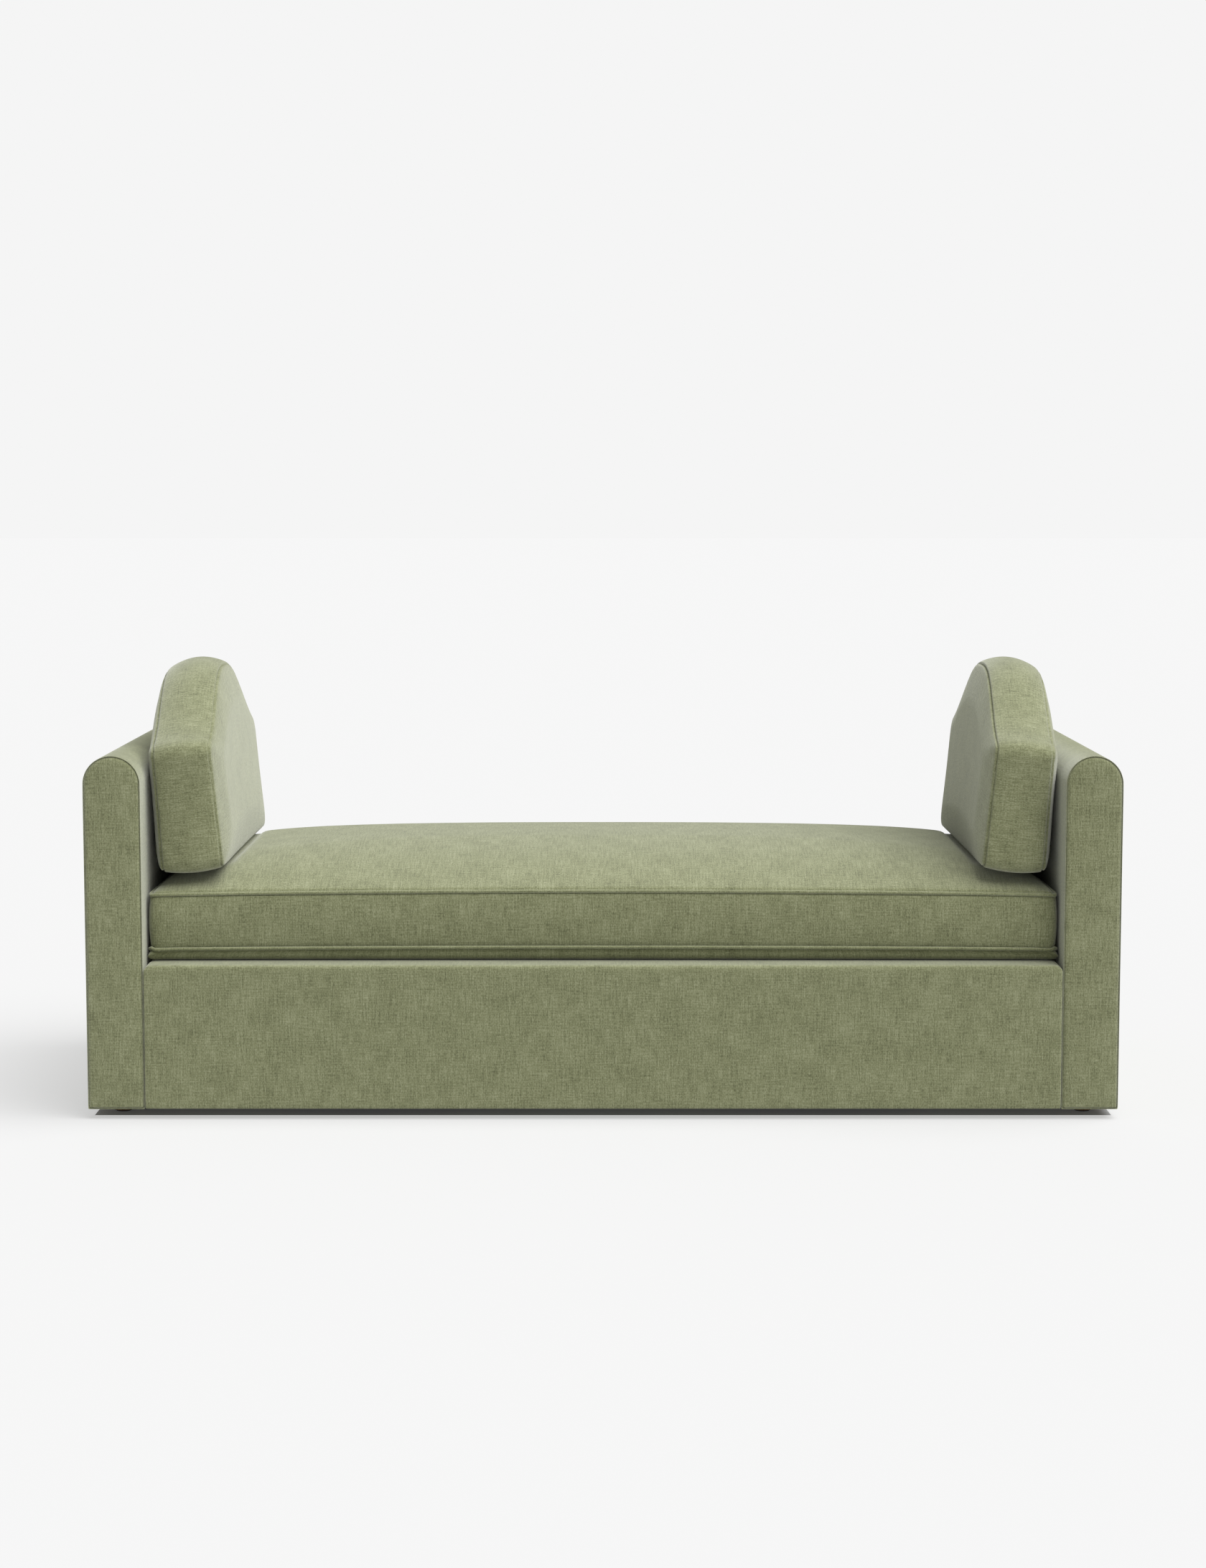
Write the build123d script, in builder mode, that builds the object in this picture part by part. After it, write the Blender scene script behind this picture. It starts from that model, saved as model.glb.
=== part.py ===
from build123d import *

import os
from math import asin, atan2, cos, degrees, hypot, radians, sin, sqrt, tan

# A backless daybed: two padded slab arms bolted to a webbed, boxed base, a loose box seat
# cushion, and two arched bolsters that stand on the seat and lean on the arms.
# +X is to the right, the front faces -Y, +Z is up. The origin is on the floor, under the middle.

# Overall sizes
overall_width = 1980
overall_depth = 820
arm_height = 702
arm_thickness = 109
deck_height = 300
foot_height = 20

# Cloth, padding and fits
fabric = 1.5
thin_cloth = 1
layer_fit = 0.3             # between one layer and the next
arm_foam = 12
rail_foam = 12
base_joint_gap = 0.5        # between the base and each arm
screw_fit = 0.1             # round a screwed or pressed shank
bolt_hole_fit = 0.5         # round a bolt that passes through

# Arm frame
post_depth = 45
arm_rail_height = 80
arm_panel = 5

# Base frame
rail_thickness = 25
end_rail_lift = 40          # end rails stop short of the dust cover
stretcher_width = 60
stretcher_height = 120
block_leg = 70
block_height = 120
deck_pad_thickness = 13.5
cover_flap = 110            # how far a rail cover reaches over the deck
rail_cover_radius = 15

# Webbing under the deck
webbing_width = 70
webbing_thickness = 2
cross_strap_pitch = 130
long_strap_pitch = 160

# Feet
foot_setback = 90           # foot centre behind the arm's end
foot_top_radius = 23
foot_bottom_radius = 19
glide_thickness = 3
glide_radius = 15
glide_chamfer = 0.6
foot_bolt_radius = 4
foot_bolt_in_foot = 12
foot_bolt_in_frame = 40

# Arm fasteners
bolt_radius = 4
bolt_head_radius = 7.5
bolt_head_height = 5
washer_radius = 11
washer_thickness = 1.6
insert_radius = 6.5
insert_length = 15
insert_spare = 3            # thread left beyond the bolt's tip
bolt_setback = 130          # bolt axis behind the arm's end
lower_bolt_height = 80
upper_bolt_drop = 40        # upper bolt below the top of the base frame

# Seat cushion
seat_front_gap = 47         # welt behind the arm's front
seat_side_gap = 4           # welt to arm
seat_edge_thickness = 166
seat_crown = 37
seat_corner_radius = 25
seat_top_radius = 30
seat_bottom_radius = 20
welt_radius = 3
welt_inset = 6              # welt centre from the rounding of the edge
welt_fit = 0.2

# Bolsters
bolster_end_gap = 55        # bolster's end behind the arm's front
bolster_height = 392
bolster_thickness = 140
bolster_arm_gap = 1
bolster_edge_radius = 18
bolster_corner_radius = 22
shoulder_slope = 18         # degrees
haunch_slope = 39           # degrees
shoulder_run = 50
haunch_run = 120
hollow_radius = 185
haunch_radius = 175
dome_radius = 470

# Zips
zip_tape_width = 24
zip_tape_thickness = 1
zip_coil_width = 4
zip_coil_height = 1.2
zip_slot = 10
zip_end = 12                # tape beyond the opening
seat_zip_margin = 270       # zip's end to the cushion's end
bolster_zip_margin = 75
bolster_zip_height = 38     # above the bolster's base
slider_length = 12
slider_width = 8
slider_thickness = 3
slider_fit = 0.3
lug_thickness = 1
lug_height = 4
pull_pin_radius = 0.8
pull_pin_fit = 0.1
pull_wall = 0.8
pull_knuckle = 4
pull_width = 6
pull_thickness = 1.2
seat_pull_length = 26
bolster_pull_length = 18

# Worked out from the above
end_y = overall_depth / 2
arm_x = overall_width / 2 - arm_thickness / 2
arm_inner_x = overall_width / 2 - arm_thickness
spring_line = arm_height - arm_thickness / 2
pad_inset = fabric + layer_fit
cavity_inset = pad_inset + arm_foam
cavity_half = arm_thickness / 2 - cavity_inset
cavity_end = end_y - cavity_inset
frame_half = cavity_half - arm_panel
post_inner = cavity_end - post_depth

base_half = arm_inner_x - base_joint_gap
frame_bottom = foot_height + thin_cloth
deck_pad_top = deck_height - fabric
deck_cloth_top = deck_pad_top - deck_pad_thickness
deck_cloth_bottom = deck_cloth_top - thin_cloth
rail_top = deck_cloth_bottom - 2 * webbing_thickness
end_rail_top = rail_top + webbing_thickness
cross_strap_count = int(2 * base_half // cross_strap_pitch)
rail_outer = end_y - pad_inset - rail_foam
rail_inner = rail_outer - rail_thickness
end_rail_inner = base_half - rail_thickness
long_strap_count = int(2 * rail_inner // long_strap_pitch)

bolt_hole_radius = bolt_radius + bolt_hole_fit
bolt_y = end_y - bolt_setback
bolt_heights = (lower_bolt_height, rail_top - upper_bolt_drop)
arm_rail_centres = (foot_height + arm_rail_height / 2, rail_top - upper_bolt_drop,
                    spring_line - arm_rail_height / 2)
insert_face = arm_x - frame_half

seat_half_length = arm_inner_x - seat_side_gap - 2 * welt_radius - welt_fit
seat_half_depth = end_y - seat_front_gap - 2 * welt_radius - welt_fit
seat_bottom = deck_height + layer_fit
seat_edge_top = seat_bottom + seat_edge_thickness
crown_radius = (seat_half_length ** 2 + seat_crown ** 2) / (2 * seat_crown)
crown_centre = seat_edge_top + seat_crown - crown_radius
seat_top_welt_z = seat_edge_top - seat_top_radius - welt_inset
seat_bottom_welt_z = seat_bottom + seat_bottom_radius + welt_inset
seat_zip_z = (seat_top_welt_z + seat_bottom_welt_z) / 2
seat_zip_length = 2 * (seat_half_length - seat_zip_margin)

# The bolster stands square on the crown of the seat, so its middle line runs to the crown's
# centre, and its outer face passes bolster_arm_gap from the arm's half-round top.
arm_round_rise = spring_line - crown_centre
arm_round_reach = hypot(arm_x, arm_round_rise)
face_reach = arm_thickness / 2 + bolster_arm_gap + bolster_thickness / 2
lean = atan2(arm_x, arm_round_rise) - asin(face_reach / arm_round_reach)
stand_radius = crown_radius + layer_fit
bolster_length = overall_depth - 2 * bolster_end_gap
bolster_zip_length = bolster_length - 2 * bolster_zip_margin

sides = {"left": -1, "right": 1}
ends = {"front": -1, "back": 1}


def save(piece, node):
    piece.label = node
    export_step(piece, f"parts/{node}.step")


def end_plane(x, y):
    """Upright plane across Y, facing the front, with its origin on the floor."""
    return Plane(origin=(x, y, 0), x_dir=(1, 0, 0), z_dir=(0, -1, 0))


def bolt_plane(side, x, y, z):
    """Plane square to X that faces the arm on that side."""
    return Plane(origin=(side * x, y, z), x_dir=(0, 1, 0), z_dir=(side, 0, 0))


def arm_bolt_points():
    return [(y, z) for y in (-bolt_y, bolt_y) for z in bolt_heights]


# Arms

def arm_outline(inset):
    """End view of an arm: straight sides and a half-round top, drawn in by inset."""
    half = arm_thickness / 2 - inset
    with BuildSketch() as outline:
        with BuildLine():
            Polyline((half, spring_line), (half, foot_height), (-half, foot_height), (-half, spring_line))
            CenterArc((0, spring_line), half, 0, 180)
        make_face()
    return outline.sketch


def drill_for_arm_bolts(side, hole_from, hole_to, radius):
    """Cutters for the arm's bolts, between two distances from the middle of the bed."""
    with BuildPart() as holes:
        for y, z in arm_bolt_points():
            with BuildSketch(bolt_plane(side, hole_from, y, z)):
                Circle(radius)
            extrude(amount=hole_to - hole_from)
    return holes.part


def arm_cover(side):
    with BuildPart() as cover:
        with BuildSketch(end_plane(side * arm_x, 0)):
            add(arm_outline(0))
            add(arm_outline(fabric), mode=Mode.SUBTRACT)
        extrude(amount=end_y - fabric, both=True)
        add(drill_for_arm_bolts(side, arm_inner_x, arm_x, bolt_hole_radius), mode=Mode.SUBTRACT)
    return cover.part


def arm_end_cover(side, end):
    with BuildPart() as cover:
        with BuildSketch(end_plane(side * arm_x, end * (end_y - fabric / 2))):
            add(arm_outline(0))
        extrude(amount=fabric / 2, both=True)
    return cover.part


def arm_padding(side):
    with BuildPart() as padding:
        with BuildSketch(end_plane(side * arm_x, 0)):
            add(arm_outline(pad_inset))
        extrude(amount=end_y - pad_inset, both=True)
        with BuildSketch(end_plane(side * arm_x, 0)):
            add(arm_outline(cavity_inset))
        extrude(amount=cavity_end, both=True, mode=Mode.SUBTRACT)
        add(drill_for_arm_bolts(side, arm_inner_x, arm_x, bolt_hole_radius), mode=Mode.SUBTRACT)
    return padding.part


def arm_panel_board(side, facing):
    """A board on the arm frame: facing -1 looks at the seat, 1 looks outwards."""
    middle = arm_x + facing * (cavity_half - arm_panel / 2)
    with BuildPart() as board:
        with BuildSketch(Plane.XY.offset(foot_height)):
            with Locations((side * middle, 0)):
                Rectangle(arm_panel, 2 * cavity_end)
        extrude(amount=spring_line - foot_height)
        if facing < 0:
            add(drill_for_arm_bolts(side, arm_inner_x, arm_x, bolt_hole_radius), mode=Mode.SUBTRACT)
    return board.part


def arm_posts(side):
    with BuildPart() as posts:
        with BuildSketch(Plane.XY.offset(foot_height)):
            for end in ends.values():
                with Locations((side * arm_x, end * (cavity_end - post_depth / 2))):
                    Rectangle(2 * frame_half, post_depth)
        extrude(amount=spring_line - foot_height)
    return posts.part


def foot_bolt_holes(top):
    """Cutters for the hanger bolts, up from the feet."""
    with BuildPart() as holes:
        with BuildSketch(Plane.XY):
            with Locations(*foot_points().values()):
                Circle(foot_bolt_radius + screw_fit)
        extrude(amount=top)
    return holes.part


def arm_rails(side):
    with BuildPart() as rails:
        for height in arm_rail_centres:
            with BuildSketch(end_plane(side * arm_x, 0)):
                with Locations((0, height)):
                    Rectangle(2 * frame_half, arm_rail_height)
            extrude(amount=post_inner, both=True)
        pocket = insert_face + insert_length
        add(drill_for_arm_bolts(side, insert_face, pocket, insert_radius + screw_fit), mode=Mode.SUBTRACT)
        add(foot_bolt_holes(foot_height + foot_bolt_in_frame), mode=Mode.SUBTRACT)
    return rails.part


def arm_top_former(side):
    with BuildPart() as former:
        with BuildSketch(end_plane(side * arm_x, 0)):
            with BuildLine():
                arc = CenterArc((0, spring_line), cavity_half - layer_fit, 0, 180)
                Line(arc @ 1, arc @ 0)
            make_face()
        extrude(amount=cavity_end, both=True)
    return former.part


def make_arms():
    for name, side in sides.items():
        save(arm_cover(side), f"{name}_arm_cover")
        for end_name, end in ends.items():
            save(arm_end_cover(side, end), f"{name}_arm_{end_name}_cover")
        save(arm_padding(side), f"{name}_arm_padding")
        save(arm_panel_board(side, -1), f"{name}_arm_inner_panel")
        save(arm_panel_board(side, 1), f"{name}_arm_outer_panel")
        save(arm_posts(side), f"{name}_arm_posts")
        save(arm_rails(side), f"{name}_arm_rails")
        save(arm_top_former(side), f"{name}_arm_top_former")


# Base

def nosing_outline(end, inset, bottom, reach):
    """Section of the front or back of the base, drawn in by inset, with a rounded top edge."""
    outer = end * (end_y - inset)
    inner = end * (end_y - reach)
    top = deck_height - inset
    with BuildSketch() as outline:
        with BuildLine():
            FilletPolyline((inner, top), (outer, top), (outer, bottom), radius=rail_cover_radius - inset)
            Polyline((outer, bottom), (inner, bottom), (inner, top))
        make_face()
    return outline.sketch


def rail_cover(end):
    with BuildPart() as cover:
        with BuildSketch(Plane.YZ):
            add(nosing_outline(end, 0, foot_height, cover_flap))
            add(nosing_outline(end, fabric, foot_height, cover_flap), mode=Mode.SUBTRACT)
        extrude(amount=base_half, both=True)
    return cover.part


def rail_padding(end):
    middle = end * (rail_outer + rail_inner) / 2
    with BuildPart() as padding:
        with BuildSketch(Plane.YZ):
            add(nosing_outline(end, pad_inset, frame_bottom, end_y - rail_inner))
            with Locations((middle, (frame_bottom + deck_cloth_top) / 2)):
                Rectangle(rail_thickness, deck_cloth_top - frame_bottom, mode=Mode.SUBTRACT)
        extrude(amount=base_half, both=True)
    return padding.part


def long_rail(end):
    with BuildPart() as rail:
        with BuildSketch(Plane.XY.offset(frame_bottom)):
            with Locations((0, end * (rail_outer + rail_inner) / 2)):
                Rectangle(2 * base_half, rail_thickness)
        extrude(amount=rail_top - frame_bottom)
    return rail.part


def end_rail(side):
    with BuildPart() as rail:
        with BuildSketch(Plane.XY.offset(frame_bottom + end_rail_lift)):
            with Locations((side * (base_half - rail_thickness / 2), 0)):
                Rectangle(rail_thickness, 2 * rail_inner)
        extrude(amount=end_rail_top - frame_bottom - end_rail_lift)
        add(drill_for_arm_bolts(side, end_rail_inner, base_half, bolt_hole_radius), mode=Mode.SUBTRACT)
    return rail.part


def centre_stretcher():
    with BuildPart() as stretcher:
        with BuildSketch(Plane.XY.offset(frame_bottom)):
            Rectangle(stretcher_width, 2 * rail_inner)
        extrude(amount=stretcher_height)
        add(foot_bolt_holes(foot_height + foot_bolt_in_frame), mode=Mode.SUBTRACT)
    return stretcher.part


def corner_blocks():
    with BuildPart() as blocks:
        with BuildSketch(Plane.XY.offset(rail_top - block_height)):
            for side in sides.values():
                for end in ends.values():
                    corner = (side * end_rail_inner, end * rail_inner)
                    along = (side * (end_rail_inner - block_leg), end * rail_inner)
                    across = (side * end_rail_inner, end * (rail_inner - block_leg))
                    with BuildLine():
                        Polyline(corner, along, across, close=True)
                    make_face()
        extrude(amount=block_height)
    return blocks.part


def cross_webbing():
    """Straps from the front rail to the back rail, laid on both."""
    with BuildPart() as straps:
        with BuildSketch(Plane.XY.offset(rail_top)):
            with GridLocations(cross_strap_pitch, 0, cross_strap_count, 1):
                Rectangle(webbing_width, 2 * rail_outer)
        extrude(amount=webbing_thickness)
    return straps.part


def long_webbing():
    """Straps from one end rail to the other, laid over the cross straps."""
    with BuildPart() as straps:
        with BuildSketch(Plane.XY.offset(end_rail_top)):
            with GridLocations(0, long_strap_pitch, 1, long_strap_count):
                Rectangle(2 * base_half, webbing_width)
        extrude(amount=webbing_thickness)
    return straps.part


def flat_layer(bottom, thickness, half_depth):
    with BuildPart() as layer:
        with BuildSketch(Plane.XY.offset(bottom)):
            Rectangle(2 * base_half, 2 * half_depth)
        extrude(amount=thickness)
    return layer.part


def dust_cover():
    with BuildPart() as cover:
        add(flat_layer(foot_height, thin_cloth, end_y - pad_inset))
        add(foot_bolt_holes(frame_bottom), mode=Mode.SUBTRACT)
    return cover.part


def make_base():
    for name, end in ends.items():
        save(rail_cover(end), f"{name}_rail_cover")
        save(rail_padding(end), f"{name}_rail_padding")
        save(long_rail(end), f"{name}_rail")
    for name, side in sides.items():
        save(end_rail(side), f"{name}_end_rail")
    save(centre_stretcher(), "centre_stretcher")
    save(corner_blocks(), "corner_blocks")
    save(cross_webbing(), "cross_webbing")
    save(long_webbing(), "long_webbing")
    save(flat_layer(deck_cloth_bottom, thin_cloth, rail_outer), "deck_cloth")
    save(flat_layer(deck_cloth_top, deck_pad_thickness, rail_inner), "deck_pad")
    save(flat_layer(deck_pad_top, fabric, end_y - cover_flap), "deck_cover")
    save(dust_cover(), "dust_cover")


# Feet and fasteners

def foot_points():
    """Plan position of each foot by its name."""
    points = {"centre": (0, 0)}
    for end_name, end in ends.items():
        for side_name, side in sides.items():
            points[f"{end_name}_{side_name}"] = (side * arm_x, end * (end_y - foot_setback))
    return points


def foot(point):
    """Turned, tapered foot with a blind hole for its hanger bolt."""
    with BuildPart() as turned:
        with BuildSketch(Plane(origin=(*point, glide_thickness))):
            Circle(foot_bottom_radius)
        with BuildSketch(Plane(origin=(*point, foot_height))):
            Circle(foot_top_radius)
        loft()
        with BuildSketch(Plane(origin=(*point, foot_height))):
            Circle(foot_bolt_radius + screw_fit)
        extrude(amount=-foot_bolt_in_foot, mode=Mode.SUBTRACT)
    return turned.part


def foot_glides():
    with BuildPart() as glides:
        with BuildSketch(Plane.XY):
            with Locations(*foot_points().values()):
                Circle(glide_radius)
        extrude(amount=glide_thickness)
        chamfer(glides.edges().group_by(Axis.Z)[0], length=glide_chamfer)
    return glides.part


def foot_bolts():
    with BuildPart() as bolts:
        with BuildSketch(Plane.XY.offset(foot_height - foot_bolt_in_foot)):
            with Locations(*foot_points().values()):
                Circle(foot_bolt_radius)
        extrude(amount=foot_bolt_in_foot + foot_bolt_in_frame)
    return bolts.part


def arm_bolts():
    shank_start = end_rail_inner - washer_thickness
    shank_end = insert_face + insert_length - insert_spare
    with BuildPart() as bolts:
        for side in sides.values():
            for y, z in arm_bolt_points():
                with BuildSketch(bolt_plane(side, shank_start, y, z)):
                    RegularPolygon(bolt_head_radius, 6)
                extrude(amount=-bolt_head_height)
                with BuildSketch(bolt_plane(side, shank_start, y, z)):
                    Circle(bolt_radius)
                extrude(amount=shank_end - shank_start)
    return bolts.part


def bolt_rings(start, length, outer_radius):
    """A ring round every arm bolt, from a distance along it."""
    with BuildPart() as rings:
        for side in sides.values():
            for y, z in arm_bolt_points():
                with BuildSketch(bolt_plane(side, start, y, z)):
                    Circle(outer_radius)
                    Circle(bolt_radius + screw_fit, mode=Mode.SUBTRACT)
                extrude(amount=length)
    return rings.part


def make_feet_and_fasteners():
    for name, point in foot_points().items():
        save(foot(point), f"{name}_foot")
    save(foot_glides(), "foot_glides")
    save(foot_bolts(), "foot_bolts")
    save(arm_bolts(), "arm_bolts")
    washer_start = end_rail_inner - washer_thickness
    save(bolt_rings(washer_start, washer_thickness, washer_radius), "arm_bolt_washers")
    save(bolt_rings(insert_face, insert_length, insert_radius), "arm_insert_nuts")


# Zips: each lies on its own plane, whose x runs along the zip and whose z faces out of the cushion

def zip_opening(plane, length):
    with BuildPart() as opening:
        with BuildSketch(plane):
            SlotOverall(length, zip_slot)
        extrude(amount=pad_inset, both=True)
    return opening.part


def zip_tape(plane, length):
    with BuildPart() as tape:
        with BuildSketch(plane):
            Rectangle(length + 2 * zip_end, zip_tape_width)
        extrude(amount=zip_tape_thickness)
        with BuildSketch(plane.offset(zip_tape_thickness)):
            Rectangle(length, zip_coil_width)
        extrude(amount=zip_coil_height)
    return tape.part


def slider_plane(plane, length, toward):
    """Top of the coil near one end of the zip, where the slider sits; toward is that end's sign."""
    middle = plane.offset(zip_tape_thickness + zip_coil_height + slider_fit)
    return middle.shift_origin(middle.from_local_coords(Vector(toward * (length / 2 - slider_length), 0, 0)))


def pull_axis_height():
    return slider_thickness + lug_height / 2


def zip_slider(plane):
    """Slider body with two lugs and the cross pin that the pull turns on."""
    lug_x = pull_knuckle / 2 + slider_fit + lug_thickness / 2
    with BuildPart() as slider:
        with BuildSketch(plane):
            RectangleRounded(slider_length, slider_width, slider_width / 4)
        extrude(amount=slider_thickness)
        with BuildSketch(plane.offset(slider_thickness)):
            with Locations((-lug_x, 0), (lug_x, 0)):
                Rectangle(lug_thickness, slider_width / 2)
        extrude(amount=lug_height)
        with BuildSketch(Plane(plane.from_local_coords(Vector(0, 0, pull_axis_height())), z_dir=plane.x_dir)):
            Circle(pull_pin_radius)
        extrude(amount=lug_x, both=True)
    return slider.part


def zip_pull(plane, length):
    """Knuckle round the slider's pin and a flat tab that lies along the tape, down from it."""
    hole = pull_pin_radius + pull_pin_fit
    axis_point = Vector(0, 0, pull_axis_height())
    with BuildPart() as pull:
        with BuildSketch(Plane(plane.from_local_coords(axis_point), z_dir=plane.x_dir)):
            Circle(hole + pull_wall)
            Circle(hole, mode=Mode.SUBTRACT)
        extrude(amount=pull_knuckle / 2, both=True)
        tab_top = hole + pull_wall / 2
        with BuildSketch(plane.offset(pull_axis_height() - pull_thickness / 2)):
            with Locations((0, -tab_top - length / 2)):
                Rectangle(pull_knuckle, length)
            with Locations((0, -tab_top - length + pull_width)):
                RectangleRounded(pull_width, 2 * pull_width, pull_width / 3)
        extrude(amount=pull_thickness)
    return pull.part


# Seat cushion

def seat_block(inset):
    """Crowned cushion block drawn in by inset, with rounded corners and edges."""
    half = seat_half_length - inset
    bottom = seat_bottom + inset
    radius = crown_radius - inset
    edge = crown_centre + sqrt(radius ** 2 - half ** 2)
    with BuildPart() as block:
        with BuildSketch(Plane.XZ):
            with BuildLine():
                Polyline((half, edge), (half, bottom), (-half, bottom), (-half, edge))
                ThreePointArc((-half, edge), (0, crown_centre + radius), (half, edge))
            make_face()
        extrude(amount=seat_half_depth - inset, both=True)
        fillet(block.edges().filter_by(Axis.Z), radius=seat_corner_radius - inset)
        fillet(block.faces().sort_by(Axis.Z)[-1].edges(), radius=seat_top_radius - inset)
        fillet(block.faces().sort_by(Axis.Z)[0].edges(), radius=seat_bottom_radius - inset)
    return block.part


def seat_zip_plane():
    return Plane(origin=(0, seat_half_depth, seat_zip_z), x_dir=(-1, 0, 0), z_dir=(0, 1, 0))


def seat_cover():
    with BuildPart() as cover:
        add(seat_block(0))
        add(seat_block(fabric), mode=Mode.SUBTRACT)
        add(zip_opening(seat_zip_plane(), seat_zip_length), mode=Mode.SUBTRACT)
    return cover.part


def seat_welt(height):
    """A cord of cloth round the cushion, just proud of its side."""
    reach = welt_radius + welt_fit
    length = 2 * (seat_half_length + reach)
    depth = 2 * (seat_half_depth + reach)
    with BuildPart() as welt:
        with BuildSketch(Plane.XY.offset(height), mode=Mode.PRIVATE) as loop:
            RectangleRounded(length, depth, seat_corner_radius + reach)
        path = loop.sketch.face().outer_wire()
        with BuildSketch(Plane(origin=path @ 0, z_dir=path % 0)):
            Circle(welt_radius)
        sweep(path=path)
    return welt.part


def make_seat():
    save(seat_cover(), "seat_cushion_cover")
    save(seat_block(pad_inset), "seat_cushion_core")
    save(seat_welt(seat_top_welt_z), "seat_cushion_top_welt")
    save(seat_welt(seat_bottom_welt_z), "seat_cushion_bottom_welt")
    plane = seat_zip_plane()
    save(zip_tape(plane, seat_zip_length), "seat_zip_tape")
    slider = slider_plane(plane, seat_zip_length, 1)
    save(zip_slider(slider), "seat_zip_slider")
    save(zip_pull(slider, seat_pull_length), "seat_zip_pull")


# Bolsters

def bolster_plane(side):
    """Middle plane of a bolster: x to the back, y up its leaning middle line."""
    foot_point = (side * stand_radius * sin(lean), 0, crown_centre + stand_radius * cos(lean))
    return Plane(origin=foot_point, x_dir=(0, 1, 0), z_dir=(cos(lean), 0, -side * sin(lean)))


def bolster_outline():
    """Arched face: straight ends, sloping shoulders, hollow flanks and a domed middle."""
    gentle = tan(radians(shoulder_slope))
    steep = tan(radians(haunch_slope))
    turn = tan(radians((haunch_slope - shoulder_slope) / 2))
    stretch = 1 / cos(radians(shoulder_slope))
    half = bolster_length / 2
    dome_run = half - shoulder_run - haunch_run
    top_radius = min(dome_radius, (dome_run * stretch - haunch_radius * turn) / gentle)
    peak = bolster_height + top_radius * (stretch - 1)
    haunch = peak - dome_run * gentle
    hollow = haunch - haunch_run * steep
    shoulder = hollow - shoulder_run * gentle
    right = [(half, 0), (half, shoulder), (half - shoulder_run, hollow), (dome_run, haunch)]
    left = [(-y, height) for y, height in reversed(right)]
    radii = [bolster_corner_radius, hollow_radius, haunch_radius]
    with BuildSketch() as outline:
        with BuildLine():
            FilletPolyline(*right, (0, peak), *left, radius=[*radii, top_radius, *reversed(radii)])
            Line((-half, 0), (half, 0))
        make_face()
        fillet(outline.vertices().group_by(Axis.Y)[0], radius=bolster_corner_radius)
    return outline.sketch


def bolster_block(side, inset):
    with BuildPart() as block:
        with BuildSketch(bolster_plane(side)):
            add(bolster_outline())
            if inset > 0:
                offset(amount=-inset, mode=Mode.REPLACE)
        extrude(amount=bolster_thickness / 2 - inset, both=True)
        faces = block.faces().filter_by(bolster_plane(side))
        fillet(faces.edges(), radius=bolster_edge_radius - inset)
    return block.part


def bolster_zip_plane(side):
    """On the face that leans on the arm, low down."""
    plane = bolster_plane(side)
    out = plane.z_dir * side
    origin = plane.origin + plane.y_dir * bolster_zip_height + out * (bolster_thickness / 2)
    return Plane(origin=origin, x_dir=(0, side, 0), z_dir=out)


def make_bolsters():
    for name, side in sides.items():
        plane = bolster_zip_plane(side)
        with BuildPart() as cover:
            add(bolster_block(side, 0))
            add(bolster_block(side, fabric), mode=Mode.SUBTRACT)
            add(zip_opening(plane, bolster_zip_length), mode=Mode.SUBTRACT)
        save(cover.part, f"{name}_bolster_cover")
        save(bolster_block(side, pad_inset), f"{name}_bolster_core")
        save(zip_tape(plane, bolster_zip_length), f"{name}_bolster_zip_tape")
        slider_seat = slider_plane(plane, bolster_zip_length, side)
        with BuildPart() as slider:
            add(zip_slider(slider_seat))
            add(zip_pull(slider_seat, bolster_pull_length))
        save(slider.part, f"{name}_bolster_zip_slider")


os.makedirs("parts", exist_ok=True)
make_arms()
make_base()
make_feet_and_fasteners()
make_seat()
make_bolsters()
print("bolster lean", round(degrees(lean), 2), "degrees")
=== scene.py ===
import bpy
import bmesh
from mathutils import Matrix, Vector
import math


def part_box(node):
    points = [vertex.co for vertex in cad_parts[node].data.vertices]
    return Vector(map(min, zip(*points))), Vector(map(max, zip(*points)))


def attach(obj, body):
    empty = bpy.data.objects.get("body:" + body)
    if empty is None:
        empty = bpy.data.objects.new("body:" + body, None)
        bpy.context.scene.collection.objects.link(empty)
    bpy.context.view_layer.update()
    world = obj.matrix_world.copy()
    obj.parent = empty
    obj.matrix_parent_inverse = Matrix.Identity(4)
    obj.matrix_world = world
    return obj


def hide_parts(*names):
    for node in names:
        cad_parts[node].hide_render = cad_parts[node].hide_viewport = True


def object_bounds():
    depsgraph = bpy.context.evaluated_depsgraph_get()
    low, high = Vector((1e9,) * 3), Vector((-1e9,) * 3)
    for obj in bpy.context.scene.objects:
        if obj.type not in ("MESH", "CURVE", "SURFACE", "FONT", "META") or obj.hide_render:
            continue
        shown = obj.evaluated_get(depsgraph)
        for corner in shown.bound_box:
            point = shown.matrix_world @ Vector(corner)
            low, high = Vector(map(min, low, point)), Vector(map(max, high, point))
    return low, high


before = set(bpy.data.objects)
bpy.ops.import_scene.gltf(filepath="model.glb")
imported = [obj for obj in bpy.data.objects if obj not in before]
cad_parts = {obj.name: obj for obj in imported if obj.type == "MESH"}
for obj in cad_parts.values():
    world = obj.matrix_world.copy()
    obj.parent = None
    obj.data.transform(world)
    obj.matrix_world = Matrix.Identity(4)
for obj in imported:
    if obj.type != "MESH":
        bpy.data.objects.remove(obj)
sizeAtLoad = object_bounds()
sides = ("left", "right")

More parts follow.
